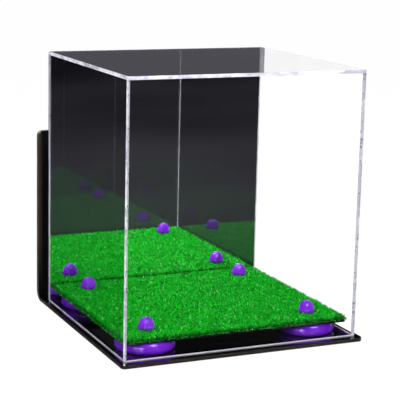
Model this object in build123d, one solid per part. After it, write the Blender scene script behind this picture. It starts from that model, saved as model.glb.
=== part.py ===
from build123d import *
import math
import os
import random

# Acrylic display case: a clear five-sided cover with a mirrored back stands over a turf-topped
# platform, on a black sheet that is bent up at the back so that it also hangs on a wall.
# Millimetres, +Z up. The front faces -Y, the wall side faces +Y, and the origin is under the
# middle of the whole case, on the underside of the black sheet.

os.makedirs("parts", exist_ok=True)

# Cover, bonded from 1/8 in sheet
COVER_W = 280.0
COVER_D = 257.0
COVER_H = 303.0
SHEET = 3.2
ARRIS = 0.3

# Base and wall leg, one bent 3/16 in sheet
BASE_W = 292.0
BASE_T = 4.8
FRONT_OVERHANG = 9.0
WALL_GAP = 22.0
LEG_H = 210.0
BEND_R = 9.2
BASE_CORNER_R = 5.0
LEG_CORNER_R = 6.0
BASE_ARRIS = 0.5
WALL_HOLE_R = 2.75
WALL_HOLE_PITCH_X = 200.0
WALL_HOLE_PITCH_Z = 120.0
WALL_HOLE_MID_Z = 120.0

# Platform board
BOARD_W = 269.0
BOARD_D = 240.0
BOARD_T = 3.0
BOARD_CORNER_R = 4.0
BOARD_ROUND = 1.2
PLATFORM_GAP_BACK = 2.8
POST_PITCH_X = 198.0
POST_PITCH_Y = 178.0

# Artificial turf: a backing with strands, of which only a few hundred are made
BACKING_T = 1.5
PILE_H = 5.5
STRAND_ROWS_X = 21
STRAND_ROWS_Y = 19
STRAND_MARGIN = 6.0
STRAND_FOOT_R = 1.1
STRAND_TIP_R = 0.45
STRAND_LEAN = 2.5
STRAND_JITTER = 1.8
STRAND_SINK = 0.3
STRAND_SEED = 7

# Riser disc under each corner of the board
RISER_H = 14.0
RISER_RIM_R = 32.5
RISER_RIM_Z = 5.5
RISER_FOOT_R = 28.5
RISER_TOP_R = 28.0
RISER_HEAD_POCKET_R = 6.0
RISER_HEAD_POCKET_H = 5.0

# Screw up through each riser, and the domed cap nut on top of it
SCREW_R = 2.45
SCREW_HEAD_R = 4.8
SCREW_HEAD_H = 3.3
SCREW_HEAD_ROUND = 1.2
SCREW_SOCKET_R = 1.7
SCREW_SOCKET_H = 1.8
SCREW_IN_NUT = 11.0
SCREW_HOLE_R = 2.8
NUT_H = 16.5
NUT_FOOT_R = 10.6
NUT_FOOT_H = 3.0
NUT_NECK_R = 7.2
NUT_DOME_R = 10.3
NUT_BORE_R = 2.5

# Places that follow from the sizes above
DEPTH = FRONT_OVERHANG + COVER_D + WALL_GAP + BASE_T
FRONT_Y = -DEPTH / 2
WALL_Y = DEPTH / 2
COVER_FRONT_Y = FRONT_Y + FRONT_OVERHANG
COVER_BACK_Y = COVER_FRONT_Y + COVER_D
COVER_MID_Y = (COVER_FRONT_Y + COVER_BACK_Y) / 2
WALL_PANEL_H = COVER_H - SHEET
BOARD_Z = BASE_T + RISER_H
BACKING_Z = BOARD_Z + BOARD_T
PILE_Z = BACKING_Z + BACKING_T
BOARD_BACK_Y = COVER_BACK_Y - SHEET - PLATFORM_GAP_BACK
BOARD_MID_Y = BOARD_BACK_Y - BOARD_D / 2
SIDES = {"left": -1, "right": 1}
ENDS = {"front": -1, "back": 1}
ON_BASE = (Align.CENTER, Align.CENTER, Align.MIN)


def save(name, shape):
    """Write one piece to its own file and print its size."""
    shape.label = name
    export_step(shape, f"parts/{name}.step")
    size = shape.bounding_box().size
    print(f"{name}: {size.X:.1f} x {size.Y:.1f} x {size.Z:.1f}, {shape.volume / 1000:.2f} cm3")


def cover_sheet(width, depth, height):
    """A flat cut of cover sheet with its sharp edges taken off."""
    block = Box(width, depth, height, align=ON_BASE)
    return chamfer(block.edges(), ARRIS)


def make_cover():
    """Front, mirror, two sides and a top that closes them, cemented edge to edge."""
    full_width_panel = cover_sheet(COVER_W, SHEET, WALL_PANEL_H)
    side_panel = cover_sheet(SHEET, COVER_D - 2 * SHEET, WALL_PANEL_H)
    front_y = COVER_FRONT_Y + SHEET / 2
    mirror_y = COVER_BACK_Y - SHEET / 2
    side_x = COVER_W / 2 - SHEET / 2
    top_z = BASE_T + WALL_PANEL_H
    save("front_panel", Pos(0, front_y, BASE_T) * full_width_panel)
    save("mirror_panel", Pos(0, mirror_y, BASE_T) * full_width_panel)
    for side, sign in SIDES.items():
        save(f"{side}_panel", Pos(sign * side_x, COVER_MID_Y, BASE_T) * side_panel)
    save("top_panel", Pos(0, COVER_MID_Y, top_z) * cover_sheet(COVER_W, COVER_D, SHEET))


def bracket_section():
    """The L of the bent sheet, drawn in the YZ plane."""
    outer_r = BEND_R + BASE_T
    bend_y = WALL_Y - outer_r
    front_top = (FRONT_Y, BASE_T)
    inner_start = (bend_y, BASE_T)
    inner_end = (WALL_Y - BASE_T, outer_r)
    leg_front_top = (WALL_Y - BASE_T, LEG_H)
    leg_back_top = (WALL_Y, LEG_H)
    outer_start = (WALL_Y, outer_r)
    outer_end = (bend_y, 0)
    front_bottom = (FRONT_Y, 0)
    outline = [
        Line(front_top, inner_start),
        TangentArc(inner_start, inner_end, tangent=(1, 0)),
        Line(inner_end, leg_front_top),
        Line(leg_front_top, leg_back_top),
        Line(leg_back_top, outer_start),
        TangentArc(outer_start, outer_end, tangent=(0, -1)),
        Line(outer_end, front_bottom),
        Line(front_bottom, front_top),
    ]
    return make_face(Plane.YZ * Curve(outline))


def make_bracket():
    """The bent base sheet, with rounded free corners and four wall screw holes."""
    sheet = extrude(bracket_section(), amount=BASE_W / 2, both=True)
    front_corners = sheet.edges().filter_by(Axis.Z).group_by(Axis.Y)[0]
    sheet = fillet(front_corners, BASE_CORNER_R)
    leg_corners = sheet.edges().filter_by(Axis.Y).group_by(Axis.Z)[-1]
    sheet = fillet(leg_corners, LEG_CORNER_R)
    hole = Cylinder(WALL_HOLE_R, 3 * BASE_T, rotation=(90, 0, 0))
    for x_sign in SIDES.values():
        for z_sign in (-1, 1):
            x = x_sign * WALL_HOLE_PITCH_X / 2
            z = WALL_HOLE_MID_Z + z_sign * WALL_HOLE_PITCH_Z / 2
            sheet -= Pos(x, WALL_Y - BASE_T / 2, z) * hole
    top_rim = sheet.faces().sort_by(Axis.Z)[-1].edges()
    front_rim = sheet.faces().sort_by(Axis.Y)[0].edges()
    sheet = chamfer(top_rim.filter_by(Axis.X) + front_rim.filter_by(Axis.X), BASE_ARRIS)
    save("wall_bracket", sheet)


def post_places():
    """Name and place of each corner post of the platform."""
    for end, y_sign in ENDS.items():
        for side, x_sign in SIDES.items():
            x = x_sign * POST_PITCH_X / 2
            y = BOARD_MID_Y + y_sign * POST_PITCH_Y / 2
            yield f"{end}_{side}", x, y


def board_outline():
    return RectangleRounded(BOARD_W, BOARD_D, BOARD_CORNER_R)


def post_holes(height):
    """Cutting rods for the four screws, as one list."""
    rod = Cylinder(SCREW_HOLE_R, height, align=ON_BASE)
    return [Pos(x, y, 0) * rod for _, x, y in post_places()]


def make_board():
    """The black board that the turf is glued to, round along its edges."""
    board = Pos(0, BOARD_MID_Y, BOARD_Z) * extrude(board_outline(), amount=BOARD_T)
    rims = board.faces().sort_by(Axis.Z)[0].edges() + board.faces().sort_by(Axis.Z)[-1].edges()
    board = fillet(rims, BOARD_ROUND)
    save("platform_board", board - post_holes(2 * BACKING_Z))


def strand(x, y, lean_x, lean_y, turn):
    """One three-sided strand, from just inside the backing to its tip."""
    rings = []
    for radius, shift, z in ((STRAND_FOOT_R, 0, PILE_Z - STRAND_SINK), (STRAND_TIP_R, 1, PILE_Z + PILE_H)):
        corners = []
        for corner in range(3):
            angle = turn + corner * 2 * math.pi / 3
            corner_x = x + shift * lean_x + radius * math.cos(angle)
            corner_y = y + shift * lean_y + radius * math.sin(angle)
            corners.append(Vector(corner_x, corner_y, z))
        rings.append(Wire.make_polygon(corners))
    return Solid.make_loft(rings, ruled=True)


def strands():
    """A loose grid of strands that leans every way and stays off the cap nuts and the edges."""
    draw = random.Random(STRAND_SEED)
    keep_off = NUT_FOOT_R + STRAND_FOOT_R + STRAND_LEAN
    nuts = [(x, y) for _, x, y in post_places()]
    made = []
    for column in range(STRAND_ROWS_X):
        for row in range(STRAND_ROWS_Y):
            grid_x = (column / (STRAND_ROWS_X - 1) - 0.5) * (BOARD_W - 2 * STRAND_MARGIN)
            grid_y = (row / (STRAND_ROWS_Y - 1) - 0.5) * (BOARD_D - 2 * STRAND_MARGIN)
            x = grid_x + draw.uniform(-STRAND_JITTER, STRAND_JITTER)
            y = BOARD_MID_Y + grid_y + draw.uniform(-STRAND_JITTER, STRAND_JITTER)
            lean = draw.uniform(0, 2 * math.pi)
            lean_x = STRAND_LEAN * math.cos(lean)
            lean_y = STRAND_LEAN * math.sin(lean)
            turn = draw.uniform(0, 2 * math.pi)
            if all(math.hypot(x - nut_x, y - nut_y) > keep_off for nut_x, nut_y in nuts):
                made.append(strand(x, y, lean_x, lean_y, turn))
    return made


def make_turf():
    """The turf mat: its backing, cut like the board, and its strands, in one fuse."""
    backing = Pos(0, BOARD_MID_Y, BACKING_Z) * extrude(board_outline(), amount=BACKING_T)
    backing -= post_holes(2 * PILE_Z)
    pile = strands()
    print(f"turf: {len(pile)} strands")
    save("turf_mat", backing.solid().fuse(*pile))


def riser_section():
    """Half section of a bun-shaped disc with a pocket for the screw's head."""
    rim = (RISER_RIM_R, RISER_RIM_Z)
    foot = (RISER_FOOT_R, 0)
    pocket_mouth = (RISER_HEAD_POCKET_R, 0)
    pocket_roof = (RISER_HEAD_POCKET_R, RISER_HEAD_POCKET_H)
    hole_low = (SCREW_HOLE_R, RISER_HEAD_POCKET_H)
    hole_high = (SCREW_HOLE_R, RISER_H)
    top = (RISER_TOP_R, RISER_H)
    outline = [
        TangentArc(rim, foot, tangent=(0, -1)),
        Polyline(foot, pocket_mouth, pocket_roof, hole_low, hole_high, top),
        TangentArc(rim, top, tangent=(0, 1)),
    ]
    return make_face(Plane.XZ * Curve(outline))


def screw_shape():
    """Round-headed socket screw, standing on its head, its bearing face in the riser's pocket."""
    head = Cylinder(SCREW_HEAD_R, SCREW_HEAD_H, align=ON_BASE)
    head = fillet(head.edges().sort_by(Axis.Z)[0], SCREW_HEAD_ROUND)
    head -= extrude(RegularPolygon(SCREW_SOCKET_R, 6), amount=SCREW_SOCKET_H)
    head_z = RISER_HEAD_POCKET_H - SCREW_HEAD_H
    shank_h = PILE_Z - BASE_T + SCREW_IN_NUT - RISER_HEAD_POCKET_H
    shank = Cylinder(SCREW_R, shank_h, align=ON_BASE)
    return Pos(0, 0, head_z) * head + Pos(0, 0, RISER_HEAD_POCKET_H) * shank


def cap_nut_shape():
    """Six-sided nut that narrows upwards into a dome, with a blind hole."""
    foot = extrude(RegularPolygon(NUT_FOOT_R, 6), amount=NUT_FOOT_H)
    sides = loft([
        Pos(0, 0, NUT_FOOT_H) * RegularPolygon(NUT_FOOT_R, 6),
        Pos(0, 0, NUT_H) * RegularPolygon(NUT_NECK_R, 6),
    ])
    dome_low = Cylinder(NUT_DOME_R, NUT_H - NUT_DOME_R, align=ON_BASE)
    dome = dome_low + Pos(0, 0, NUT_H - NUT_DOME_R) * Sphere(NUT_DOME_R)
    bore = Cylinder(NUT_BORE_R, SCREW_IN_NUT + 1, align=ON_BASE)
    return (foot + sides) & dome - bore


def make_posts():
    """A riser, its screw and its cap nut at each corner of the platform."""
    riser = revolve(riser_section(), Axis.Z)
    screw = screw_shape()
    nut = cap_nut_shape()
    for name, x, y in post_places():
        save(f"{name}_riser", Pos(x, y, BASE_T) * riser)
        save(f"{name}_screw", Pos(x, y, BASE_T) * screw)
        save(f"{name}_cap_nut", Pos(x, y, PILE_Z) * nut)


make_cover()
make_bracket()
make_board()
make_turf()
make_posts()
print(f"whole case: {BASE_W:.1f} wide, {DEPTH:.1f} deep, {BASE_T + COVER_H:.1f} high")
print(f"platform front edge is {BOARD_MID_Y - BOARD_D / 2 - COVER_FRONT_Y - SHEET:.1f} behind the front panel")
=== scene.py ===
# %% [markdown]
# Acrylic display case
#
# A clear cover with a mirrored back stands over a platform of artificial turf, on a black sheet
# that is bent up into a wall leg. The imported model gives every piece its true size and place,
# so this script only adds what the eye sees: clear and mirrored acrylic, turf, glossy caps.

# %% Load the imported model
import math

import bmesh
import bpy
from mathutils import Matrix, Vector


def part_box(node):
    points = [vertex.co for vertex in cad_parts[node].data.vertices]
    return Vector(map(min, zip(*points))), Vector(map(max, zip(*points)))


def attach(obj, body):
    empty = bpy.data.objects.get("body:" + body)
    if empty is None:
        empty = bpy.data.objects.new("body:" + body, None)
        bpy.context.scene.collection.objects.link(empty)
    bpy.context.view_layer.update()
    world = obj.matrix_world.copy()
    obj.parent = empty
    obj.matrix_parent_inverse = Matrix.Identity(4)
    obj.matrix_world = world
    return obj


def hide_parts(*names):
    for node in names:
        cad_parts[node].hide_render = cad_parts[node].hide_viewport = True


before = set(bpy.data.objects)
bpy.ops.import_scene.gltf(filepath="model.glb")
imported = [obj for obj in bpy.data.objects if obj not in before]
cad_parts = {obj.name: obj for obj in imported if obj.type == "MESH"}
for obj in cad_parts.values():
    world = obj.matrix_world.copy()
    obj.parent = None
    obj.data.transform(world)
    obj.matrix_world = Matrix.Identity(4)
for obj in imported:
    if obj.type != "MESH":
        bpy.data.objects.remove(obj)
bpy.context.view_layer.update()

scene = bpy.context.scene

# %% [markdown]
# The camera comes first, because it decides how fine each detail has to be. A long lens from
# the front left, a little above the case and rolled slightly, gives the flat perspective of a
# catalogue picture.

# %% Camera
AZIMUTH = -24.5
ELEVATION = 11.7
ROLL = 1.37
LENS_MM = 125.9
AIM = Vector((0.004, -0.004, 0.1445))
DISTANCE = 1.6265
NEAREST = 0.05
FARTHEST = 50.0


def direction(azimuth, elevation):
    """Unit vector from the case towards a viewer at these angles, in degrees."""
    a = math.radians(azimuth)
    e = math.radians(elevation)
    return Vector((math.sin(a) * math.cos(e), -math.cos(a) * math.cos(e), math.sin(e)))


def make_camera():
    back = direction(AZIMUTH, ELEVATION)
    camera = bpy.data.objects.new("camera", bpy.data.cameras.new("camera"))
    camera.data.lens = LENS_MM
    camera.data.clip_start = NEAREST
    camera.data.clip_end = FARTHEST
    look = (-back).to_track_quat("-Z", "Y").to_matrix()
    roll = Matrix.Rotation(math.radians(ROLL), 3, "Z")
    place = Matrix.Translation(AIM + DISTANCE * back)
    camera.matrix_world = place @ (look @ roll).to_4x4()
    scene.collection.objects.link(camera)
    scene.camera = camera
    return camera.matrix_world.translation


CAMERA_PLACE = make_camera()
print("camera at", [round(x, 3) for x in CAMERA_PLACE])

# %% [markdown]
# Small helpers keep the node trees readable. One adds a node and sets or links its inputs, and
# the others are short names for the nodes that come back most. A mask is a number that is 1 on
# some parts of a surface and 0 on the rest, and masks are joined like words: both, either.

# %% Node helpers
def fill(tree, node, values):
    """Set or link a node's inputs by name or number."""
    for key, value in values.items():
        if isinstance(value, bpy.types.NodeSocket):
            tree.links.new(value, node.inputs[key])
        else:
            node.inputs[key].default_value = value


def add(tree, kind, values=None, **settings):
    """Add a node, set its properties and fill its inputs."""
    node = tree.nodes.new(kind)
    for name, value in settings.items():
        setattr(node, name, value)
    fill(tree, node, values or {})
    return node


def maths(tree, operation, *inputs):
    """The result of a Math node."""
    return add(tree, "ShaderNodeMath", dict(enumerate(inputs)), operation=operation).outputs[0]


def vector_maths(tree, operation, *inputs):
    """A Vector Math node."""
    return add(tree, "ShaderNodeVectorMath", dict(enumerate(inputs)), operation=operation)


def axes(tree, vector):
    """The X, Y and Z of a vector, by name."""
    return add(tree, "ShaderNodeSeparateXYZ", {0: vector}).outputs


def two_colours(tree, factor, first, second):
    """The first colour where the factor is 0, and the second where it is 1."""
    node = add(tree, "ShaderNodeMix", {0: factor, 6: first, 7: second}, data_type="RGBA")
    return node.outputs[2]


def spread(tree, value, low, high, new_low=0.0, new_high=1.0):
    """The value stretched from one range to another, and held inside it."""
    return add(tree, "ShaderNodeMapRange", {
        "Value": value, "From Min": low, "From Max": high, "To Min": new_low, "To Max": new_high,
    }).outputs[0]


def noise(tree, place, scale, detail):
    """Smooth random values, mostly between 0.3 and 0.7, that change over a surface."""
    return add(tree, "ShaderNodeTexNoise", {
        "Vector": place, "Scale": scale, "Detail": detail,
    }).outputs[0]


# %% Masks
def above(tree, value, limit):
    """1 where the value is over the limit."""
    return maths(tree, "GREATER_THAN", value, limit)


def below(tree, value, limit):
    """1 where the value is under the limit."""
    return maths(tree, "LESS_THAN", value, limit)


def both(tree, first, second):
    """1 where both masks are 1."""
    return maths(tree, "MULTIPLY", first, second)


def either(tree, first, second):
    """1 where one mask or the other is 1."""
    return maths(tree, "MAXIMUM", first, second)


def opposite(tree, mask):
    """1 where the mask is 0."""
    return maths(tree, "SUBTRACT", 1.0, mask)


# %% [markdown]
# Every finish starts from a Principled shader. What is the same all over the surface is set on
# the shader's own sockets, and what changes over the surface is fed to them. A finish is then
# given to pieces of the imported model, or to a fuller mesh that is shown in a piece's stead.

# %% Materials and pieces
def new_material(name):
    """A material with a Principled shader on its output."""
    material = bpy.data.materials.new(name)
    material.use_nodes = True
    tree = material.node_tree
    return material, tree, tree.nodes["Principled BSDF"]


def dress(tree, shader, **values):
    """Fill a shader's inputs, with _ for each space in their names."""
    fill(tree, shader, {name.replace("_", " "): value for name, value in values.items()})


def end_with_mix(tree, factor, first, second):
    """End a material with the first shader where the factor is 0, and the second where it is 1."""
    mix = add(tree, "ShaderNodeMixShader", {0: factor, 1: first.outputs[0], 2: second.outputs[0]})
    tree.links.new(mix.outputs[0], tree.nodes["Material Output"].inputs["Surface"])


def place_on(tree):
    """Where a point of the surface lies, in metres."""
    return add(tree, "ShaderNodeTexCoord").outputs["Object"]


def finished_mesh(name, shape):
    """A mesh from a bmesh, which is freed."""
    mesh = bpy.data.meshes.new(name)
    shape.to_mesh(mesh)
    shape.free()
    return mesh


def show(mesh, name, body, materials):
    """Put a finished mesh into the scene, on the body that it moves with."""
    piece = bpy.data.objects.new(name, mesh)
    scene.collection.objects.link(piece)
    for material in materials:
        mesh.materials.append(material)
    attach(piece, body)
    return piece


def give(node_names, material):
    """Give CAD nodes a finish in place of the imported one."""
    for name in node_names:
        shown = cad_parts[name]
        shown.data.materials.clear()
        shown.data.materials.append(material)
    print(material.name, "is on", ", ".join(node_names))


# %% [markdown]
# Two effects come back in several finishes, so each is a shader group that is built once.
# Handled plastic is never evenly smooth, which shows as soft changes of roughness. A sawn edge
# has fine lines that run along the sheet, so its pattern changes quickly across the thickness
# and slowly along the length.

# %% Shared shader groups
GRAIN_ROUGHNESS = 0.6
SMEAR_RANGE = (0.35, 0.7)
STREAK_RANGE = (0.38, 0.66)


def new_group(name, inputs, output):
    """A shader group with its sockets, its input node and its output node."""
    group = bpy.data.node_groups.new(name, "ShaderNodeTree")
    for label, kind, value in inputs:
        socket = group.interface.new_socket(label, in_out="INPUT", socket_type=kind)
        socket.default_value = value
    group.interface.new_socket(output, in_out="OUTPUT", socket_type="NodeSocketFloat")
    return group, group.nodes.new("NodeGroupInput").outputs, group.nodes.new("NodeGroupOutput")


def handled_group():
    group, given, result = new_group("handled plastic", [
        ("Scale", "NodeSocketFloat", 40.0),
        ("Smooth", "NodeSocketFloat", 0.03),
        ("Dull", "NodeSocketFloat", 0.1),
    ], "Roughness")
    smear = add(group, "ShaderNodeTexNoise", {
        "Vector": place_on(group), "Scale": given["Scale"], "Detail": 4.0,
        "Roughness": GRAIN_ROUGHNESS,
    }).outputs[0]
    rough = spread(group, smear, *SMEAR_RANGE, given["Smooth"], given["Dull"])
    group.links.new(rough, result.inputs["Roughness"])
    return group


def sawn_group():
    group, given, result = new_group("sawn edge", [
        ("Stretch", "NodeSocketVector", (60.0, 60.0, 60.0)),
        ("Detail", "NodeSocketFloat", 3.0),
    ], "Streak")
    stretched = vector_maths(group, "MULTIPLY", place_on(group), given["Stretch"]).outputs[0]
    lines = add(group, "ShaderNodeTexNoise", {
        "Vector": stretched, "Scale": 1.0, "Detail": given["Detail"],
        "Roughness": GRAIN_ROUGHNESS,
    }).outputs[0]
    group.links.new(spread(group, lines, *STREAK_RANGE), result.inputs["Streak"])
    return group


HANDLED = handled_group()
SAWN = sawn_group()


def placed_group(tree, group, **values):
    """The output of a shared group in a material's tree."""
    return add(tree, "ShaderNodeGroup", values, node_tree=group).outputs[0]


print("shader groups:", HANDLED.name, "and", SAWN.name)

# %% [markdown]
# The cover is bonded from clear acrylic sheet, whose flat faces are polished and bend light.
# Real glass shading gives the faint reflections. Lamps would be shut out by it, because a
# renderer doesn't look for lamps through bent rays, so a shadow ray passes straight through.

# %% Clear acrylic
ACRYLIC_IOR = 1.49
CLEAR_TINT = (0.99, 0.99, 1.0, 1)


def clear_acrylic():
    material, tree, shader = new_material("clear_acrylic")
    dress(
        tree, shader, Base_Color=CLEAR_TINT, Roughness=0.0, IOR=ACRYLIC_IOR,
        Transmission_Weight=1.0,
    )
    is_shadow = add(tree, "ShaderNodeLightPath").outputs["Is Shadow Ray"]
    through = add(tree, "ShaderNodeBsdfTransparent", {"Color": CLEAR_TINT})
    end_with_mix(tree, is_shadow, shader, through)
    return material


# %% [markdown]
# The sheets' cut edges gather the light that is caught inside and look like pale lavender
# lines, and where two sheets are cemented, tiny bubbles stay in the joint. A renderer follows
# only a few reflections inside a sheet, after which the edges would turn black, so these faces
# are pale satin instead of clear. Each bubble is one cell of a cell texture, with a dark rim.

# %% Cut edges and cemented joints
EDGE_GREY = (0.50, 0.49, 0.60, 1)
EDGE_LIGHT = (0.94, 0.93, 0.99, 1)
EDGE_STRETCH = (55.0, 55.0, 90.0)
EDGE_ROUGHNESS = (0.22, 0.38)
# painted glow: the foot's faces are painted almost white, for the bright line along the sheets' feet
FOOT_GLOW_GREY = (0.80, 0.79, 0.90, 1)
FOOT_GLOW_WHITE = (0.99, 0.98, 1.0, 1)
JOINT_PALE = (0.80, 0.80, 0.86, 1)
JOINT_ROUGHNESS = (0.4, 0.18)
BUBBLES_PER_METRE = 320.0
BUBBLE_RIM = (0.09, 0.09, 0.11, 1)
RIM_AT = 0.20
RIM_HALF_WIDTH = 0.22
PATCH_STRETCH = (30.0, 30.0, 30.0)
PATCH_RANGE = (0.1, 0.6)


def cut_edge(name, grey, light):
    material, tree, shader = new_material(name)
    streak = placed_group(tree, SAWN, Stretch=EDGE_STRETCH)
    rough = spread(tree, streak, 0.0, 1.0, *EDGE_ROUGHNESS)
    dress(tree, shader, Base_Color=two_colours(tree, streak, grey, light), Roughness=rough)
    return material


def cemented_joint():
    material, tree, shader = new_material("cemented_joint")
    cells = add(tree, "ShaderNodeTexVoronoi", {
        "Vector": place_on(tree), "Scale": BUBBLES_PER_METRE,
    }).outputs
    from_rim = maths(tree, "ABSOLUTE", maths(tree, "SUBTRACT", cells["Distance"], RIM_AT))
    rim = spread(tree, from_rim, 0.0, RIM_HALF_WIDTH, 1.0, 0.0)
    patches = placed_group(tree, SAWN, Stretch=PATCH_STRETCH)
    shown = both(tree, rim, spread(tree, patches, *PATCH_RANGE))
    rough = spread(tree, shown, 0.0, 1.0, *JOINT_ROUGHNESS)
    colour = two_colours(tree, shown, JOINT_PALE, BUBBLE_RIM)
    dress(tree, shader, Base_Color=colour, Roughness=rough)
    return material


# %% [markdown]
# Each sheet is a box with its sharp edges taken off. The finish of a face follows from the way
# it looks: across the sheet it is polished, and along the sheet it is cut, or cemented to its
# neighbour. A cemented end stops a hair short, so that no two faces lie in the same place. The
# foot has a taller arris, and its faces are painted almost white: a painted glow for the bright
# line along the foot.

# %% Cover sheets
ARRIS = 0.0005
FOOT_ARRIS = 0.0009
GLUE_LINE = 0.00005
SAME = 1e-6
STRAIGHT = 0.99
LOOKS_DOWN = -0.1
X, Y, Z = range(3)
POLISHED, CUT, CEMENTED, FOOT = range(4)


def face_finish(normal, thin_axis, cemented):
    """Which finish a face has, from the way it looks."""
    axis = max(range(3), key=lambda a: abs(normal[a]))
    if thin_axis != Z and normal[Z] < LOOKS_DOWN:
        return FOOT
    if abs(normal[axis]) < STRAIGHT:
        return CUT
    if axis == thin_axis:
        return POLISHED
    side = 1 if normal[axis] > 0 else -1
    return CEMENTED if (axis, side) in cemented else CUT


def sheet_mesh(name, low, high, thin_axis, cemented):
    """A cut sheet, as long as its box says, less the glue line at its cemented ends."""
    low = list(low)
    high = list(high)
    for axis, side in cemented:
        if side > 0:
            high[axis] -= GLUE_LINE
        else:
            low[axis] += GLUE_LINE
    shape = bmesh.new()
    bmesh.ops.create_cube(shape, size=1)
    for corner in shape.verts:
        corner.co = [high[a] if corner.co[a] > 0 else low[a] for a in range(3)]
    bmesh.ops.bevel(shape, geom=list(shape.edges), offset=ARRIS, segments=1, affect="EDGES")
    for corner in shape.verts:
        if thin_axis != Z and abs(corner.co.z - low[Z] - ARRIS) < SAME:
            corner.co.z = low[Z] + FOOT_ARRIS
    bmesh.ops.recalc_face_normals(shape, faces=list(shape.faces))
    for face in shape.faces:
        face.material_index = face_finish(face.normal, thin_axis, cemented)
    return finished_mesh(name, shape)


# %% Show the sheets
SIDE_JOINTS = [(Y, -1), (Y, 1), (Z, 1)]
CLEAR_SHEETS = {
    # node: (its thin axis, its cemented ends)
    "front_panel": (Y, [(Z, 1)]),
    "left_panel": (X, SIDE_JOINTS),
    "right_panel": (X, SIDE_JOINTS),
    "top_panel": (Z, []),
}


def make_clear_sheets():
    cut = cut_edge("cut_edge", EDGE_GREY, EDGE_LIGHT)
    foot = cut_edge("foot_edge", FOOT_GLOW_GREY, FOOT_GLOW_WHITE)
    finishes = [clear_acrylic(), cut, cemented_joint(), foot]
    for node, (thin_axis, cemented) in CLEAR_SHEETS.items():
        mesh = sheet_mesh(f"{node}_sheet", *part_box(node), thin_axis, cemented)
        piece = show(mesh, f"{node}_sheet", "cover", finishes)
        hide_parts(node)
        print(piece.name, "faces:", len(mesh.polygons))


make_clear_sheets()

# %% [markdown]
# The back wall is mirrored acrylic: silvered, with a grey protective paint on its back and bare
# acrylic along its cut edges. The modelled sheet is already right, so one finish does it all,
# and the way that a face looks chooses between silver, paint and bare edge.

# %% Mirrored acrylic
SILVER = (0.86, 0.87, 0.89, 1)
BACK_PAINT = (0.08, 0.08, 0.09, 1)
MIRROR_EDGE_DARK = (0.10, 0.10, 0.13, 1)
MIRROR_EDGE_LIGHT = (0.24, 0.24, 0.29, 1)
MIRROR_EDGE_STRETCH = (45.0, 400.0, 45.0)
UNSILVERED_ROUGHNESS = 0.38
FACING = 0.5  # the share of a face's normal along an axis, over which the face looks that way


def mirrored_acrylic():
    material, tree, shader = new_material("mirrored_acrylic")
    look = axes(tree, add(tree, "ShaderNodeNewGeometry").outputs["True Normal"])
    is_silver = below(tree, look["Y"], -FACING)
    is_back = above(tree, look["Y"], FACING)
    streak = placed_group(tree, SAWN, Stretch=MIRROR_EDGE_STRETCH)
    bare = two_colours(tree, streak, MIRROR_EDGE_DARK, MIRROR_EDGE_LIGHT)
    painted = two_colours(tree, is_back, bare, BACK_PAINT)
    dull = maths(tree, "MULTIPLY", opposite(tree, is_silver), UNSILVERED_ROUGHNESS)
    colour = two_colours(tree, is_silver, painted, SILVER)
    dress(tree, shader, Base_Color=colour, Metallic=is_silver, Roughness=dull)
    return material


give(["mirror_panel"], mirrored_acrylic())

# %% [markdown]
# The base and leg are one sheet of gloss black acrylic. Its faces are like still water and show
# what stands on them. Its cut edges are duller, slightly brown, and lined by the saw. The lines
# run along the sheet, so they change with height on the base and with depth on the leg. The leg's
# cut edges are lighter than the base's, partly a painted sheen, and beside them the leg's face
# has a painted brown sheen that fades in above the leg's foot. Masks made from a face's place
# and from the way it looks tell these parts of the one modelled sheet apart.

# %% Parts of the black sheet
SLAB_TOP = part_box("front_panel")[0].z
BRACKET_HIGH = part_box("wall_bracket")[1]
LEG_FOOT = 3 * SLAB_TOP  # over this height, the sheet is the leg
ARRIS_LOOKS_UP = 0.3


def cut_masks(tree, spot, look):
    """Where the sheet is cut, and where the cut is dull. The slab's upper arris is polished."""
    is_slab = below(tree, spot["Z"], SLAB_TOP)
    is_side = above(tree, maths(tree, "ABSOLUTE", look["X"]), FACING)
    is_front = both(tree, below(tree, look["Y"], -FACING), is_slab)
    is_high = above(tree, spot["Z"], BRACKET_HIGH.z / 2)
    is_leg_top = both(tree, above(tree, look["Z"], FACING), is_high)
    is_cut = either(tree, either(tree, is_side, is_front), is_leg_top)
    slab_arris = both(tree, is_slab, above(tree, look["Z"], ARRIS_LOOKS_UP))
    return is_cut, both(tree, is_cut, opposite(tree, slab_arris))


print("slab thickness in mm:", round(1000 * SLAB_TOP, 1))

# %% Black acrylic
GLOSS_BLACK = (0.0015, 0.0013, 0.0016, 1)
SAWN_DARK = (0.006, 0.0045, 0.0035, 1)
SAWN_BROWN = (0.030, 0.026, 0.021, 1)
# the leg's cut faces: sawn brown, made lighter than the base's by a painted sheen
LEG_DARK_WITH_SHEEN = (0.020, 0.017, 0.012, 1)
LEG_BROWN_WITH_SHEEN = (0.110, 0.098, 0.075, 1)
LINES_PER_METRE = 1400.0
LINE_RANGE = (0.35, 0.7)
# painted sheen: a brown stripe on the leg's face beside its sides, fading in above the leg's foot
PAINTED_SHEEN_BROWN = (0.050, 0.040, 0.026, 1)
SHEEN_WIDTH = 0.007
SHEEN_FADE = 0.06
CUT_ROUGHNESS = 0.28


def sawn_colour(tree, spot):
    """Saw lines, lighter on the leg than on the base, where the lighter part is a painted sheen."""
    is_leg = above(tree, spot["Z"], LEG_FOOT)
    depth = add(tree, "ShaderNodeMix", {0: is_leg, 2: spot["Z"], 3: spot["Y"]}).outputs[0]
    lines = add(tree, "ShaderNodeTexNoise", {
        "W": maths(tree, "MULTIPLY", depth, LINES_PER_METRE), "Scale": 1.0, "Detail": 2.0,
    }, noise_dimensions="1D").outputs[0]
    streak = spread(tree, lines, *LINE_RANGE)
    base_cut = two_colours(tree, streak, SAWN_DARK, SAWN_BROWN)
    leg_cut_with_sheen = two_colours(tree, streak, LEG_DARK_WITH_SHEEN, LEG_BROWN_WITH_SHEEN)
    return two_colours(tree, is_leg, base_cut, leg_cut_with_sheen)


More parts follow.
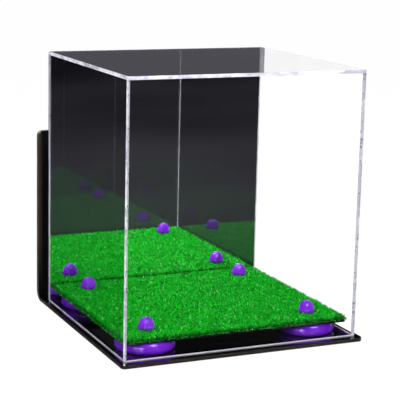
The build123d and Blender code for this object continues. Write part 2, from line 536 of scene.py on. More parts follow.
def face_colour(tree, spot):
    """Gloss black, with a painted brown sheen beside the leg's sides that fades in above its foot."""
    from_side = maths(tree, "SUBTRACT", BRACKET_HIGH.x, maths(tree, "ABSOLUTE", spot["X"]))
    beside = spread(tree, from_side, 0.0, SHEEN_WIDTH, 1.0, 0.0)
    on_leg = spread(tree, spot["Z"], LEG_FOOT, LEG_FOOT + SHEEN_FADE)
    return two_colours(tree, both(tree, on_leg, beside), GLOSS_BLACK, PAINTED_SHEEN_BROWN)


def black_acrylic():
    material, tree, shader = new_material("black_acrylic")
    spot = axes(tree, place_on(tree))
    look = axes(tree, add(tree, "ShaderNodeNewGeometry").outputs["True Normal"])
    is_cut, is_dull = cut_masks(tree, spot, look)
    polished = placed_group(tree, HANDLED, Scale=14.0, Smooth=0.01, Dull=0.05)
    rough = maths(tree, "ADD", polished, maths(tree, "MULTIPLY", is_dull, CUT_ROUGHNESS))
    colour = two_colours(tree, is_cut, face_colour(tree, spot), sawn_colour(tree, spot))
    dress(tree, shader, Base_Color=colour, Roughness=rough, IOR=ACRYLIC_IOR)
    return material


give(["wall_bracket"], black_acrylic())

# %% [markdown]
# The platform's board is a plain black panel. Only its thin edge shows, so a satin finish with
# slight unevenness is enough.

# %% Platform board
BOARD_BLACK = (0.0015, 0.0015, 0.0015, 1)
BOARD_GREY = (0.007, 0.007, 0.007, 1)
BOARD_STRETCH = (200.0, 200.0, 900.0)
BOARD_SHEEN = 0.3


def black_board():
    material, tree, shader = new_material("black_board")
    satin = placed_group(tree, HANDLED, Scale=60.0, Smooth=0.3, Dull=0.5)
    grain = placed_group(tree, SAWN, Stretch=BOARD_STRETCH)
    colour = two_colours(tree, grain, BOARD_BLACK, BOARD_GREY)
    dress(tree, shader, Base_Color=colour, Roughness=satin, Specular_IOR_Level=BOARD_SHEEN)
    return material


give(["platform_board"], black_board())

# %% [markdown]
# Risers and cap nuts are moulded in the same glossy purple plastic. Its colour is a little
# deeper where the plastic is thick, which a slow noise gives.

# %% Purple plastic
PURPLE_DEEP = (0.17, 0.008, 0.68, 1)
PURPLE_BRIGHT = (0.28, 0.03, 0.90, 1)
CLOUDS_PER_METRE = 45.0
CLOUD_RANGE = (0.35, 0.65)
CORNERS = ["front_left", "front_right", "back_left", "back_right"]


def purple_plastic():
    material, tree, shader = new_material("purple_plastic")
    clouds = noise(tree, place_on(tree), CLOUDS_PER_METRE, 2.0)
    shade = spread(tree, clouds, *CLOUD_RANGE)
    gloss = placed_group(tree, HANDLED, Scale=70.0, Smooth=0.02, Dull=0.07)
    colour = two_colours(tree, shade, PURPLE_DEEP, PURPLE_BRIGHT)
    dress(tree, shader, Base_Color=colour, Roughness=gloss)
    return material


PURPLE_PLASTIC = purple_plastic()
give([f"{corner}_riser" for corner in CORNERS], PURPLE_PLASTIC)

# %% [markdown]
# A cap nut is six-sided where a spanner grips it and round on top. Seen close, the moulding
# flows: a foot with six soft corners, which sinks a little into the turf, closes into a dome.
# Rings are stacked up the nut, and each ring says how wide and how six-sided it is.

# %% Cap nut shape
RING_POINTS = 48
CAP_RINGS = [
    # share of the height, share of the foot's radius, how six-sided
    (0.00, 0.72, 0.9),
    (0.18, 0.74, 0.9),
    (0.19, 0.86, 0.9),
    (0.22, 0.96, 0.9),
    (0.26, 1.00, 0.9),
    (0.40, 1.00, 0.9),
    (0.46, 0.96, 0.9),
    (0.53, 0.91, 0.8),
    (0.63, 0.84, 0.7),
    (0.73, 0.75, 0.5),
    (0.82, 0.63, 0.3),
    (0.90, 0.47, 0.2),
    (0.96, 0.28, 0.1),
    (0.992, 0.12, 0.0),
]


def six_sided(angle):
    """The radius of a hexagon at an angle, for a corner radius of 1."""
    from_flat = (angle % (math.pi / 3)) - math.pi / 6
    return math.cos(math.pi / 6) / math.cos(from_flat)


def cap_ring(shape, middle, radius, height, corners):
    """A ring of points, round where corners is 0 and six-sided where it is 1."""
    ring = []
    for step in range(RING_POINTS):
        angle = 2 * math.pi * step / RING_POINTS
        reach = radius * (1 + corners * (six_sided(angle) - 1))
        x = middle.x + reach * math.cos(angle)
        y = middle.y + reach * math.sin(angle)
        ring.append(shape.verts.new((x, y, height)))
    return ring


def cap_mesh(name, low, high):
    """Rings up the nut, joined by faces, with a closed foot and top."""
    middle = (low + high) / 2
    foot = (high.x - low.x) / 2
    shape = bmesh.new()
    rings = [
        cap_ring(shape, middle, foot * wide, low.z + up * (high.z - low.z), corners)
        for up, wide, corners in CAP_RINGS
    ]
    for lower, upper in zip(rings, rings[1:]):
        for step in range(RING_POINTS):
            after = (step + 1) % RING_POINTS
            shape.faces.new((lower[step], lower[after], upper[after], upper[step]))
    shape.faces.new(list(reversed(rings[0])))
    tip = shape.verts.new((middle.x, middle.y, high.z))
    for step in range(RING_POINTS):
        shape.faces.new((rings[-1][step], rings[-1][(step + 1) % RING_POINTS], tip))
    bmesh.ops.recalc_face_normals(shape, faces=list(shape.faces))
    for face in shape.faces:
        face.smooth = len(face.verts) < RING_POINTS
    return finished_mesh(name, shape)


# %% Show the cap nuts
for corner_name in CORNERS:
    cap = cap_mesh(f"{corner_name}_cap", *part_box(f"{corner_name}_cap_nut"))
    cap_piece = show(cap, f"{corner_name}_cap", "platform", [PURPLE_PLASTIC])
    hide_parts(f"{corner_name}_cap_nut")
    print(cap_piece.name, "faces:", len(cap.polygons))

# %% [markdown]
# The screws are plain steel. They hardly show, but a finish makes them right when the platform
# is lifted out and turned over.

# %% Screws
STEEL_DARK = (0.42, 0.42, 0.43, 1)
STEEL_BRIGHT = (0.6, 0.6, 0.61, 1)
BRUSHED_STRETCH = (900.0, 900.0, 200.0)


def screw_steel():
    material, tree, shader = new_material("screw_steel")
    brushed = placed_group(tree, SAWN, Stretch=BRUSHED_STRETCH)
    satin = placed_group(tree, HANDLED, Scale=300.0, Smooth=0.25, Dull=0.45)
    colour = two_colours(tree, brushed, STEEL_DARK, STEEL_BRIGHT)
    dress(tree, shader, Base_Color=colour, Roughness=satin, Metallic=1.0)
    return material


give([f"{corner}_screw" for corner in CORNERS], screw_steel())

# %% [markdown]
# Artificial turf is many thousand thin bent blades in a backing. Hand-placed tufts would look
# combed, so a Geometry Nodes tree scatters one small blade over the mat, leans and turns each
# copy at random, and leaves bare spots for the cap nuts. The blade has seven faces, because it
# is repeated tens of thousands of times.

# %% One blade
BLADE_H = 0.0054
BLADE_W = 0.0011
BLADE_RINGS = [
    # share of the height, half width and bend, the last two in shares of width and height
    (0.0, 0.50, 0.0),
    (0.55, 0.42, 0.10),
]
BLADE_DEPTH = 0.4
TIP_BEND = 0.42


def blade_mesh():
    """A three-sided blade that bends as it rises, closed at its foot and tip."""
    corners = []
    for share, half, bend in BLADE_RINGS:
        z = share * BLADE_H
        y = bend * BLADE_H
        corners.append((-half * BLADE_W, y, z))
        corners.append((half * BLADE_W, y, z))
        corners.append((0, y + BLADE_DEPTH * BLADE_W, z))
    corners.append((0, TIP_BEND * BLADE_H, BLADE_H))
    foot = [(0, 2, 1)]
    sides = [(0, 1, 4, 3), (1, 2, 5, 4), (2, 0, 3, 5)]
    tip = [(3, 4, 6), (4, 5, 6), (5, 3, 6)]
    mesh = bpy.data.meshes.new("blade")
    mesh.from_pydata(corners, [], foot + sides + tip)
    return mesh


blade = bpy.data.objects.new("blade_source", blade_mesh())
print("blade faces:", len(blade.data.polygons))

# %% [markdown]
# Each blade carries a number from 0, dark, to 1, light, in an attribute called shade. It is
# random, and a painted shade lowers it towards the rim of the mat, where blades hang over the
# edge. A colour ramp turns it into green, from nearly black to a few pale blades that are
# painted glints.

# %% Turf finish
GREENS = [
    (0.00, (0.0008, 0.008, 0.001, 1)),
    (0.16, (0.002, 0.25, 0.006, 1)),
    (0.45, (0.003, 0.61, 0.016, 1)),
    (0.82, (0.016, 0.88, 0.040, 1)),
    (1.00, (0.38, 0.98, 0.34, 1)),
]
TURF_SHEEN = 0.08


def turf_material():
    material, tree, shader = new_material("turf_blades")
    shade = add(tree, "ShaderNodeAttribute", attribute_name="shade").outputs["Fac"]
    ramp = add(tree, "ShaderNodeValToRGB", {0: shade})
    stops = ramp.color_ramp.elements
    stops[0].position, stops[0].color = GREENS[0]
    stops[1].position, stops[1].color = GREENS[-1]
    for position, colour in GREENS[1:-1]:
        stops.new(position).color = colour
    matte = placed_group(tree, HANDLED, Scale=900.0, Smooth=0.45, Dull=0.7)
    colour = ramp.outputs["Color"]
    dress(tree, shader, Base_Color=colour, Roughness=matte, Specular_IOR_Level=TURF_SHEEN)
    return material


TURF = turf_material()
print(TURF.name, "has", len(GREENS), "greens")

# %% [markdown]
# Pile and fringe are grown by two trees with the same steps: scatter points on a patch of
# ground, plant a blade on each, and press back what reaches past the space that the mat may
# fill. Each step has a helper, and so has the distance from the rim, which rules how the
# blades change towards it.

# %% Turf tree helpers
def new_tree(name, inputs):
    """A Geometry Nodes tree with named inputs besides its geometry."""
    tree = bpy.data.node_groups.new(name, "GeometryNodeTree")
    tree.interface.new_socket("Geometry", in_out="INPUT", socket_type="NodeSocketGeometry")
    for label, kind in inputs:
        tree.interface.new_socket(label, in_out="INPUT", socket_type=kind)
    tree.interface.new_socket("Geometry", in_out="OUTPUT", socket_type="NodeSocketGeometry")
    return tree, tree.nodes.new("NodeGroupInput").outputs, tree.nodes.new("NodeGroupOutput")


def random_value(tree, low, high, seed):
    """A random number for each point, always the same for the same seed."""
    node = add(tree, "FunctionNodeRandomValue", {"Seed": seed}, data_type="FLOAT")
    for label, value in (("Min", low), ("Max", high)):
        next(s for s in node.inputs if s.name == label and s.enabled).default_value = value
    return next(s for s in node.outputs if s.enabled)


def scattered(tree, given):
    """Points on the given mesh, with the way that its faces look."""
    return add(tree, "GeometryNodeDistributePointsOnFaces", {
        "Mesh": given["Geometry"], "Density": given["Density"], "Seed": given["Seed"],
    }).outputs


def off_the_caps(tree, points, position, clear_points, radius):
    """The points that aren't under a cap nut."""
    for centre in clear_points:
        away = vector_maths(tree, "DISTANCE", position, centre).outputs["Value"]
        points = add(tree, "GeometryNodeDeleteGeometry", {
            "Geometry": points, "Selection": below(tree, away, radius),
        }).outputs[0]
    return points


def rim_distance(tree, position, lowest, highest):
    """How far a point is from the rim of the mat."""
    from_low = axes(tree, vector_maths(tree, "SUBTRACT", position, lowest).outputs[0])
    from_high = axes(tree, vector_maths(tree, "SUBTRACT", highest, position).outputs[0])
    along_x = maths(tree, "MINIMUM", from_low["X"], from_high["X"])
    along_y = maths(tree, "MINIMUM", from_low["Y"], from_high["Y"])
    return maths(tree, "MINIMUM", along_x, along_y)


def planted(tree, points, rotation, size, shade):
    """A blade on each point, as plain mesh, with its shade."""
    one = add(tree, "GeometryNodeObjectInfo", {"Object": blade}).outputs["Geometry"]
    copies = add(tree, "GeometryNodeInstanceOnPoints", {
        "Points": points, "Instance": one, "Scale": size, "Rotation": rotation,
    }).outputs[0]
    shaded = add(tree, "GeometryNodeStoreNamedAttribute", {
        "Geometry": copies, "Name": "shade", "Value": shade,
    }, data_type="FLOAT", domain="INSTANCE").outputs[0]
    return add(tree, "GeometryNodeRealizeInstances", {0: shaded}).outputs[0]


def kept_inside(tree, geometry, position, given, result):
    """Press back what reaches past the space that the mat may fill, and finish the tree."""
    held_low = vector_maths(tree, "MAXIMUM", position, given["Lowest"]).outputs[0]
    held = vector_maths(tree, "MINIMUM", held_low, given["Highest"]).outputs[0]
    pressed = add(tree, "GeometryNodeSetPosition", {"Geometry": geometry, "Position": held})
    finished = add(tree, "GeometryNodeSetMaterial", {
        "Geometry": pressed.outputs[0], "Material": TURF,
    })
    tree.links.new(finished.outputs[0], result.inputs[0])


# %% [markdown]
# In the pile, a slow noise gathers the blades into taller and shorter, lighter and darker
# tufts. Most blades are short and a few are long. Near the rim they lean less and differ more,
# so that the outline stays ragged instead of being combed flat against the case.

# %% How a pile blade stands
LEAN = 0.8
LEAST_LEAN = 0.05
LEAN_AT_RIM = 0.3
SHORT = 0.72
SHORT_AT_RIM = 0.42
TUFT_HEIGHTS = (0.85, 1.1)
FEW_LONG = 4.0
WIDTHS = (0.8, 1.3)
DEPTHS = (0.7, 1.3)
RIM_STARTS = 0.0022
RIM_CALM = 0.0065
LEAN_SEED, TURN_SEED, WIDTH_SEED, DEPTH_SEED, HEIGHT_SEED, SHADE_SEED, GLINT_SEED = range(11, 18)


def pile_rotation(tree, inside):
    """Lean and turn, at random, with less lean near the rim."""
    calm = spread(tree, inside, RIM_STARTS, RIM_CALM, LEAN_AT_RIM, 1.0)
    tilt = maths(tree, "MULTIPLY", random_value(tree, LEAST_LEAN, 1.0, LEAN_SEED), -LEAN)
    angles = add(tree, "ShaderNodeCombineXYZ", {
        "X": maths(tree, "MULTIPLY", tilt, calm),
        "Z": random_value(tree, 0.0, 2 * math.pi, TURN_SEED),
    }).outputs[0]
    return add(tree, "FunctionNodeEulerToRotation", {0: angles}).outputs[0]


def pile_size(tree, inside, tuft):
    """Width and depth at random, and a height between short and full."""
    short = spread(tree, inside, RIM_STARTS, RIM_CALM, SHORT_AT_RIM, SHORT)
    short = maths(tree, "MULTIPLY", short, spread(tree, tuft, 0.0, 1.0, *TUFT_HEIGHTS))
    rarely_long = maths(tree, "POWER", random_value(tree, 0.0, 1.0, HEIGHT_SEED), FEW_LONG)
    return add(tree, "ShaderNodeCombineXYZ", {
        "X": random_value(tree, *WIDTHS, WIDTH_SEED),
        "Y": random_value(tree, *DEPTHS, DEPTH_SEED),
        "Z": spread(tree, rarely_long, 0.0, 1.0, short, 1.0),
    }).outputs[0]


# %% How light a pile blade is
MOTTLE = 0.62
TUFT_MOTTLE = 0.26
# painted glints: a few blades are lifted towards the palest green
GLINT_SHARE = 0.055
GLINT_LIFT = 0.45
# painted shade: blades are darkened within this distance of the rim
PAINTED_RIM_SHADE_ENDS = 0.0048
PAINTED_SHADE_AT_RIM = 0.25


def pile_shade(tree, inside, tuft):
    """A random shade, lighter in some tufts and in a few painted glints, with painted shade at the rim.
    """
    own = random_value(tree, 0.0, MOTTLE, SHADE_SEED)
    shade = maths(tree, "ADD", own, maths(tree, "MULTIPLY", tuft, TUFT_MOTTLE))
    is_glint = below(tree, random_value(tree, 0.0, 1.0, GLINT_SEED), GLINT_SHARE)
    shade = maths(tree, "ADD", shade, maths(tree, "MULTIPLY", is_glint, GLINT_LIFT))
    painted_rim_shade = spread(tree, inside, RIM_STARTS, PAINTED_RIM_SHADE_ENDS, PAINTED_SHADE_AT_RIM, 1.0)
    return maths(tree, "MULTIPLY", shade, painted_rim_shade)


# %% Pile tree
BACKING_T = 0.0015
TUFTS_PER_METRE = 260.0
TUFT_RANGE = (0.35, 0.65)
MAT_LOW, MAT_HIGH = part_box("turf_mat")
PILE_FOOT = MAT_LOW.z + BACKING_T
SCATTER_INPUTS = [("Density", "NodeSocketFloat"), ("Seed", "NodeSocketInt")]
BOX_INPUTS = [("Lowest", "NodeSocketVector"), ("Highest", "NodeSocketVector")]


def cap_middles():
    """The middle of each cap nut, at the pile's foot."""
    middles = []
    for corner in CORNERS:
        low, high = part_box(f"{corner}_cap_nut")
        middles.append(((low.x + high.x) / 2, (low.y + high.y) / 2, PILE_FOOT))
    return middles


def pile_tree():
    """Blades that stand up on a patch of the mat."""
    tree, given, result = new_tree("turf pile", [
        *SCATTER_INPUTS, ("Clear Radius", "NodeSocketFloat"), *BOX_INPUTS,
    ])
    position = add(tree, "GeometryNodeInputPosition").outputs[0]
    points = scattered(tree, given)["Points"]
    points = off_the_caps(tree, points, position, cap_middles(), given["Clear Radius"])
    tuft = spread(tree, noise(tree, position, TUFTS_PER_METRE, 1.0), *TUFT_RANGE)
    inside = rim_distance(tree, position, given["Lowest"], given["Highest"])
    rotation = pile_rotation(tree, inside)
    size = pile_size(tree, inside, tuft)
    plain = planted(tree, points, rotation, size, pile_shade(tree, inside, tuft))
    kept_inside(tree, plain, position, given, result)
    return tree


PILE = pile_tree()
print("pile tree nodes:", len(PILE.nodes))

# %% [markdown]
# Round the rim, cut ends of yarn hang over the edge of the board. The same blade is planted on
# a thin ribbon round the mat and turned to point outwards and down. Most ends are dark, and a
# few are pale.

# %% Fringe tree
FRINGE_JITTER = 0.7
FRINGE_DROOP = 1.5
FRINGE_RISE = 0.3
FRINGE_SIZES = (0.372, 0.62)
FEW_LIGHT = 3.0
SIDEWAYS_SEED, ONWARDS_SEED, DROOP_SEED, SIZE_SEED, FRINGE_SHADE_SEED = range(21, 26)


def fringe_tree():
    """Blades that hang from a ribbon round the mat."""
    tree, given, result = new_tree("turf fringe", [*SCATTER_INPUTS, *BOX_INPUTS])
    position = add(tree, "GeometryNodeInputPosition").outputs[0]
    points = scattered(tree, given)
    jitter = add(tree, "ShaderNodeCombineXYZ", {
        "X": random_value(tree, -FRINGE_JITTER, FRINGE_JITTER, SIDEWAYS_SEED),
        "Y": random_value(tree, -FRINGE_JITTER, FRINGE_JITTER, ONWARDS_SEED),
        "Z": random_value(tree, -FRINGE_DROOP, FRINGE_RISE, DROOP_SEED),
    }).outputs[0]
    hang = vector_maths(tree, "ADD", points["Normal"], jitter).outputs[0]
    rotation = add(tree, "FunctionNodeAlignRotationToVector", {"Vector": hang}, axis="Z").outputs[0]
    size = random_value(tree, *FRINGE_SIZES, SIZE_SEED)
    shade = maths(tree, "POWER", random_value(tree, 0.0, 1.0, FRINGE_SHADE_SEED), FEW_LIGHT)
    plain = planted(tree, points["Points"], rotation, size, shade)
    kept_inside(tree, plain, position, given, result)
    return tree


FRINGE = fringe_tree()
print("fringe tree nodes:", len(FRINGE.nodes))

# %% [markdown]
# A tree needs ground to grow on: flat rectangles for the pile, and an upright ribbon with round
# corners for the fringe. The grown blades are kept as plain mesh, and the ground is removed. A
# modifier's inputs are set by identifier, since names are only labels.

# %% Ground for the turf
BACKING_CORNER_R = 0.004
CORNER_STEPS = 6


def patch_object(name, points, faces):
    """A mesh object that only serves as ground."""
    mesh = bpy.data.meshes.new(name)
    mesh.from_pydata(points, [], faces)
    patch = bpy.data.objects.new(name, mesh)
    scene.collection.objects.link(patch)
    return patch


def flat_patch(name, low, high, height):
    """A flat rectangle."""
    corners = [(low[0], low[1]), (high[0], low[1]), (high[0], high[1]), (low[0], high[1])]
    return patch_object(name, [(x, y, height) for x, y in corners], [(0, 1, 2, 3)])


def rim_points(low, high, radius):
    """Points round a rectangle with round corners, anticlockwise from the front right."""
    corners = [(high.x, low.y), (high.x, high.y), (low.x, high.y), (low.x, low.y)]
    points = []
    for quarter, (x, y) in enumerate(corners):
        centre_x = x - math.copysign(radius, x)
        centre_y = y + radius if y == low.y else y - radius
        for step in range(CORNER_STEPS + 1):
            angle = math.pi / 2 * (quarter - 1 + step / CORNER_STEPS)
            points.append((centre_x + radius * math.cos(angle), centre_y + radius * math.sin(angle)))
    return points


def rim_ribbon(name, low, high, bottom, top):
    """An upright ribbon round the mat that looks outwards."""
    outline = rim_points(low, high, BACKING_CORNER_R)
    count = len(outline)
    points = [(x, y, z) for z in (bottom, top) for x, y in outline]
    faces = []
    for step in range(count):
        after = (step + 1) % count
        faces.append((step, after, after + count, step + count))
    return patch_object(name, points, faces)


# %% Growing on the ground
def set_inputs(modifier, **values):
    """Set a modifier's inputs through their sockets' identifiers."""
    for item in modifier.node_group.interface.items_tree:
        key = item.name.replace(" ", "_").lower()
        if item.item_type == "SOCKET" and item.in_out == "INPUT" and key in values:
            modifier[item.identifier] = values[key]


def grown(patch, tree, name, **values):
    """Show the plain mesh that a tree makes from a patch, and remove the patch."""
    modifier = patch.modifiers.new("turf", "NODES")
    modifier.node_group = tree
    set_inputs(modifier, **values)
    graph = bpy.context.evaluated_depsgraph_get()
    mesh = bpy.data.meshes.new_from_object(patch.evaluated_get(graph))
    mesh.name = name
    bpy.data.objects.remove(patch)
    show(mesh, name, "platform", [] if mesh.materials else [TURF])
    print(name, "triangles:", sum(len(face.vertices) - 2 for face in mesh.polygons))


# %% [markdown]
# The pile tree runs on four strips of ground, so that each piece has fewer than 200,000
# triangles. Each strip has a seed of its own. Blades may lean a little past the mat's rim, and
# the fringe hangs a little lower than the mat.

# %% Turf pieces
BLADES = 56000
STRIPS = 4
FRINGE_BLADES = 3200
FRINGE_SEED = 9
BLADE_FOOT_MARGIN = 0.0006
OVERHANG = 0.0016
DROOP = 0.0030
CAP_CLEAR = 0.0079
TURF_LOWEST = (MAT_LOW.x - OVERHANG, MAT_LOW.y - OVERHANG, MAT_LOW.z)
TURF_HIGHEST = (MAT_HIGH.x + OVERHANG, MAT_HIGH.y + OVERHANG, MAT_HIGH.z)


def make_pile():
    start = Vector((MAT_LOW.x + BLADE_FOOT_MARGIN, MAT_LOW.y + BLADE_FOOT_MARGIN))
    stop = Vector((MAT_HIGH.x - BLADE_FOOT_MARGIN, MAT_HIGH.y - BLADE_FOOT_MARGIN))
    wide = (stop.x - start.x) / STRIPS
    area = (stop.x - start.x) * (stop.y - start.y)
    for strip in range(STRIPS):
        left = start.x + strip * wide
        patch = flat_patch(f"turf_patch_{strip + 1}", (left, start.y), (left + wide, stop.y), PILE_FOOT)
        grown(
            patch, PILE, f"turf_pile_{strip + 1}", density=BLADES / area, seed=strip + 1,
            clear_radius=CAP_CLEAR, lowest=TURF_LOWEST, highest=TURF_HIGHEST,
        )


def make_fringe():
    ribbon = rim_ribbon("turf_ribbon", MAT_LOW, MAT_HIGH, MAT_LOW.z, PILE_FOOT)
    around = 2 * (MAT_HIGH.x - MAT_LOW.x + MAT_HIGH.y - MAT_LOW.y)
    grown(
        ribbon, FRINGE, "turf_fringe", density=FRINGE_BLADES / (around * BACKING_T),
        seed=FRINGE_SEED, lowest=(*TURF_LOWEST[:2], MAT_LOW.z - DROOP), highest=TURF_HIGHEST,
    )


make_pile()
make_fringe()
bpy.data.objects.remove(blade)

# %% [markdown]
# The blades stand in a thin dark backing that is cut like the board, with round corners. It is
# what closes the view down between them.

# %% Turf backing
BACKING_DARK = (0.001, 0.006, 0.001, 1)
BACKING_GREEN = (0.002, 0.05, 0.003, 1)
WEAVE_STRETCH = (700.0, 700.0, 700.0)


def backing_material():
    material, tree, shader = new_material("turf_backing")
    weave = placed_group(tree, SAWN, Stretch=WEAVE_STRETCH)
    matte = placed_group(tree, HANDLED, Scale=400.0, Smooth=0.7, Dull=0.9)
    colour = two_colours(tree, weave, BACKING_DARK, BACKING_GREEN)
    dress(tree, shader, Base_Color=colour, Roughness=matte)
    return material


def backing_mesh():
    shape = bmesh.new()
    bmesh.ops.create_cube(shape, size=1)
    for corner in shape.verts:
        x = MAT_HIGH.x if corner.co.x > 0 else MAT_LOW.x
        y = MAT_HIGH.y if corner.co.y > 0 else MAT_LOW.y
        corner.co = (x, y, PILE_FOOT if corner.co.z > 0 else MAT_LOW.z)
    upright = [e for e in shape.edges if abs(e.verts[0].co.z - e.verts[1].co.z) > BACKING_T / 2]
    bmesh.ops.bevel(
        shape, geom=upright, offset=BACKING_CORNER_R, segments=CORNER_STEPS, affect="EDGES",
    )
    bmesh.ops.recalc_face_normals(shape, faces=list(shape.faces))
    return finished_mesh("turf_backing", shape)


backing = show(backing_mesh(), "turf_backing", "platform", [backing_material()])
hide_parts("turf_mat")
print(backing.name, "faces:", len(backing.data.polygons))

# %% [markdown]
# The studio. The world and floor are white where they are looked at, and a little brighter
# through clear sheet, which would grey them. They light the case at a plain level. The turf
# under the cover gets the world's light in two ways, straight through the sheets and by rays
# that bend in them, so the second way leaves out a share. The lamps' light doesn't come to it
# by way of the mirror, so what comes that way from the world is stronger in their place.

# %% What a ray sees
WHITE = (1, 1, 1, 1)
BOUNCED = 0.5  # a count of bounces over this means at least one
THROUGH_GLASS = 1.42


def looked_at(tree, path):
    """Where a ray comes from the camera and hasn't met a matte surface, and how bright that is."""
    direct = either(tree, path["Is Camera Ray"], path["Is Glossy Ray"])
    shown = either(tree, direct, path["Is Transmission Ray"])
    before_matte = below(tree, path["Diffuse Depth"], BOUNCED)
    glow = spread(tree, path["Is Transmission Ray"], 0.0, 1.0, 1.0, THROUGH_GLASS)
    return both(tree, shown, before_matte), glow


# %% World
WORLD_LIGHT = 0.55
DOUBLE_SHARE = 0.3
MIRRORED_LIGHT = 2.6


def make_world():
    world = bpy.data.worlds.new("studio")
    world.use_nodes = True
    tree = world.node_tree
    path = add(tree, "ShaderNodeLightPath").outputs
    shown, glow = looked_at(tree, path)
    after_matte = above(tree, path["Diffuse Depth"], BOUNCED)
    mirrored = above(tree, path["Glossy Depth"], BOUNCED)
    bent = both(tree, path["Is Transmission Ray"], opposite(tree, mirrored))
    less = WORLD_LIGHT * (1 - DOUBLE_SHARE)
    light = spread(tree, both(tree, after_matte, bent), 0.0, 1.0, WORLD_LIGHT, less)
    by_mirror = maths(tree, "MULTIPLY", both(tree, after_matte, mirrored), MIRRORED_LIGHT)
    light = maths(tree, "MAXIMUM", light, by_mirror)
    strength = maths(tree, "MAXIMUM", maths(tree, "MULTIPLY", shown, glow), light)
    background = tree.nodes["Background"]
    background.inputs["Color"].default_value = WHITE
    tree.links.new(strength, background.inputs["Strength"])
    scene.world = world


make_world()
print("world light:", WORLD_LIGHT)

# %% Floor
FLOOR_REACH = 20.0
FLOOR_WHITE = (0.8, 0.8, 0.8, 1)
FLOOR_GLOW = 0.9
FLOOR_LIFT = 1.05


def make_floor():
    floor = flat_patch("floor", (-FLOOR_REACH, -FLOOR_REACH), (FLOOR_REACH, FLOOR_REACH), 0.0)
    material, tree, shader = new_material("floor_white")
    tree.nodes.remove(shader)
    matte = add(tree, "ShaderNodeBsdfDiffuse", {"Color": FLOOR_WHITE})
    shown, glow = looked_at(tree, add(tree, "ShaderNodeLightPath").outputs)
    lifted = maths(tree, "MULTIPLY", glow, FLOOR_LIFT)
    white = add(tree, "ShaderNodeEmission", {"Color": WHITE, "Strength": lifted})
    share = maths(tree, "MULTIPLY", shown, FLOOR_GLOW)
    end_with_mix(tree, share, matte, white)
    floor.data.materials.append(material)
    print("floor width in m:", 2 * FLOOR_REACH)


make_floor()

# %% [markdown]
# Clear and mirrored acrylic shows its surroundings as much as itself. In white surroundings the
# mirror would be white, so product photographers put such things in a dark tent. This tent is
# seen only in reflections: rays that haven't been mirrored pass through it. Low down behind the
# case it is grey, and white to the right of a post. Bright windows make highlights on the glossy
# pieces. The low ones end above the tent's floor, which they would flood with white.

# %% Tent cloth
CLOTH_DARK = (0.004, 0.004, 0.006, 1)
CLOTH_LIGHT = (0.045, 0.045, 0.050, 1)
CLOTH_GREY = (0.100, 0.100, 0.115, 1)
CLOTH_FOLDS = 0.7
FOLD_RANGE = (0.38, 0.68)
BAND_LOW = 0.05
BAND_HIGH = 1.15
BAND_FADE = (-1.5, 1.0)
POST_AZIMUTH = 27.0


def tent_colour(tree, place):
    """Dark folded cloth, with a low grey and white band at the back right."""
    folds = spread(tree, noise(tree, place, CLOTH_FOLDS, 2.0), *FOLD_RANGE)
    cloth = two_colours(tree, folds, CLOTH_DARK, CLOTH_LIGHT)
    spot = axes(tree, place)
    behind = above(tree, spot["Y"], 0.0)
    to_right = spread(tree, spot["X"], *BAND_FADE)
    low_down = both(tree, above(tree, spot["Z"], BAND_LOW), below(tree, spot["Z"], BAND_HIGH))
    band = both(tree, both(tree, behind, to_right), low_down)
    angle = math.radians(POST_AZIMUTH)
    from_camera = vector_maths(tree, "SUBTRACT", place, tuple(CAMERA_PLACE)).outputs[0]
    across = vector_maths(tree, "DOT_PRODUCT", from_camera, (math.cos(angle), -math.sin(angle), 0))
    past_post = above(tree, across.outputs["Value"], 0.0)
    shown = two_colours(tree, past_post, CLOTH_GREY, WHITE)
    return two_colours(tree, band, two_colours(tree, behind, cloth, CLOTH_DARK), shown)


# %% Tent windows
WINDOW_GLOW = 45.0
WINDOWS = [
    # azimuth, elevation, half angle
    (-62, 12, 9),
    (-42, 12, 9),
    (22, 6, 4.5),
    (-50, 60, 16),
    (16, 48, 12),
]


def window_mask(tree, place):
    """1 inside the bright windows."""
    outwards = vector_maths(tree, "NORMALIZE", place).outputs[0]
    mask = 0.0
    for azimuth, elevation, half_angle in WINDOWS:
        towards = tuple(direction(azimuth, elevation))
        near = vector_maths(tree, "DOT_PRODUCT", outwards, towards).outputs["Value"]
        mask = either(tree, above(tree, near, math.cos(math.radians(half_angle))), mask)
    return mask


print("windows:", len(WINDOWS))

# %% Reflection tent
TENT_R = 5.0
TENT_FLOOR_Z = 0.0004
TENT_SEGMENTS = 48
TENT_RINGS = 32


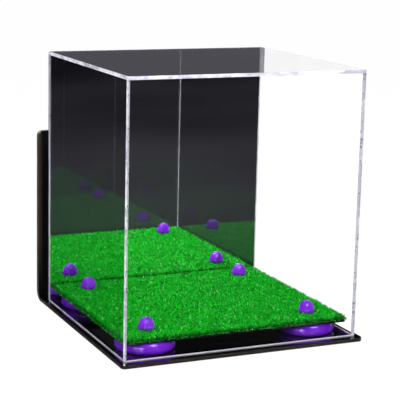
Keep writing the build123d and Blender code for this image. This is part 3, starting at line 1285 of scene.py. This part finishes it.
def tent_material():
    material, tree, shader = new_material("tent_cloth")
    tree.nodes.remove(shader)
    place = place_on(tree)
    window = window_mask(tree, place)
    colour = two_colours(tree, window, tent_colour(tree, place), WHITE)
    strength = spread(tree, window, 0.0, 1.0, 1.0, WINDOW_GLOW)
    cloth = add(tree, "ShaderNodeEmission", {"Color": colour, "Strength": strength})
    unseen = add(tree, "ShaderNodeBsdfTransparent")
    path = add(tree, "ShaderNodeLightPath").outputs
    mirrored = above(tree, path["Glossy Depth"], BOUNCED)
    before_matte = below(tree, path["Diffuse Depth"], BOUNCED)
    end_with_mix(tree, both(tree, mirrored, before_matte), unseen, cloth)
    material.cycles.emission_sampling = "NONE"
    return material


def make_tent():
    shape = bmesh.new()
    bmesh.ops.create_uvsphere(shape, u_segments=TENT_SEGMENTS, v_segments=TENT_RINGS, radius=TENT_R)
    for corner in shape.verts:
        corner.co.z = max(corner.co.z, TENT_FLOOR_Z)
    mesh = finished_mesh("tent", shape)
    mesh.materials.append(tent_material())
    tent = bpy.data.objects.new("tent", mesh)
    scene.collection.objects.link(tent)
    tent.visible_camera = False
    tent.visible_diffuse = False
    tent.visible_shadow = False
    print("tent radius in m:", TENT_R)


make_tent()

# %% [markdown]
# Three soft lamps and the world light the case. Two stand low in front, to reach under the
# platform, and one hangs above. The lamps don't show in gloss: the tent's windows do.

# %% Lamps
LAMP_SIZE = 0.8


def soft_lamp(name, azimuth, elevation, distance, watts):
    lamp = bpy.data.lights.new(name, "AREA")
    lamp.shape = "SQUARE"
    lamp.size = LAMP_SIZE
    lamp.energy = watts
    towards = direction(azimuth, elevation)
    holder = bpy.data.objects.new(name, lamp)
    place = Matrix.Translation(AIM + distance * towards)
    holder.matrix_world = place @ towards.to_track_quat("Z", "Y").to_matrix().to_4x4()
    holder.visible_glossy = False
    holder.visible_transmission = False
    scene.collection.objects.link(holder)
    print(name, "lamp:", watts, "W")


soft_lamp("key", azimuth=-44, elevation=26, distance=1.9, watts=17)
soft_lamp("fill", azimuth=34, elevation=22, distance=2.1, watts=10)
soft_lamp("top", azimuth=5, elevation=76, distance=1.9, watts=8)

# %% [markdown]
# Last, the colours are shown as they are, and the model's size is written beside the CAD's, so
# that the two can be compared.

# %% Colour management
scene.view_settings.view_transform = "Standard"
